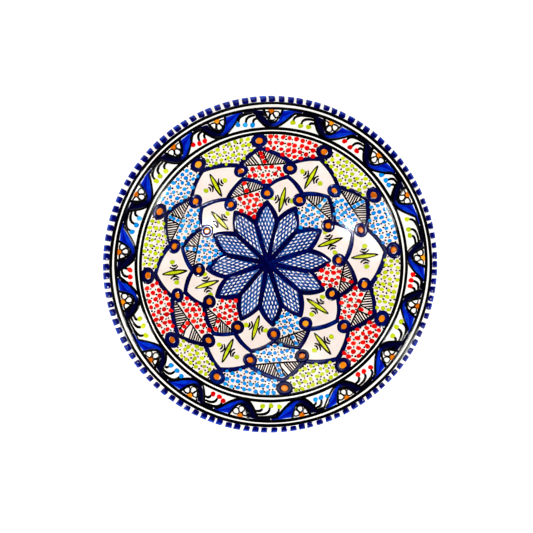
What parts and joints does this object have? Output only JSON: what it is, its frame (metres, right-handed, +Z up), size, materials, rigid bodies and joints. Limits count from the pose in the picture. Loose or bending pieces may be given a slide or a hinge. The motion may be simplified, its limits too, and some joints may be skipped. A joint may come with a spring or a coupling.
{
  "type": "ceramic plate",
  "caption": "Hand painted earthenware dish with a level border, a deep round hollow, a turned foot and a painted net of arches.",
  "frame": {"origin": "middle of the foot ring's flat base, on the table", "axes": "+Z up along the axis that the plate was turned on, +X and +Y across the plate, +Y towards the top of the painted pattern"},
  "size_m": [0.32, 0.32, 0.0507],
  "materials": {
    "bare_earthenware": "matte",
    "white_glaze": "polished",
    "black_pigment": "polished",
    "royal_blue_pigment": "polished",
    "cobalt_pigment": "polished",
    "cobalt_wash": "polished"
  },
  "bodies": {
    "root": {"clay_body": "bare_earthenware", "face_glaze": "white_glaze", "back_glaze": "white_glaze", "foot_glaze": "white_glaze", "rim_line_outer": "black_pigment", "rim_line_inner": "black_pigment", "well_line_outer": "black_pigment", "well_line_inner": "black_pigment", "border_garland": "royal_blue_pigment", "outer_arches": "cobalt_pigment", "inner_arches": "cobalt_pigment", "centre_flower": "cobalt_wash"}
  },
  "joints": []
}
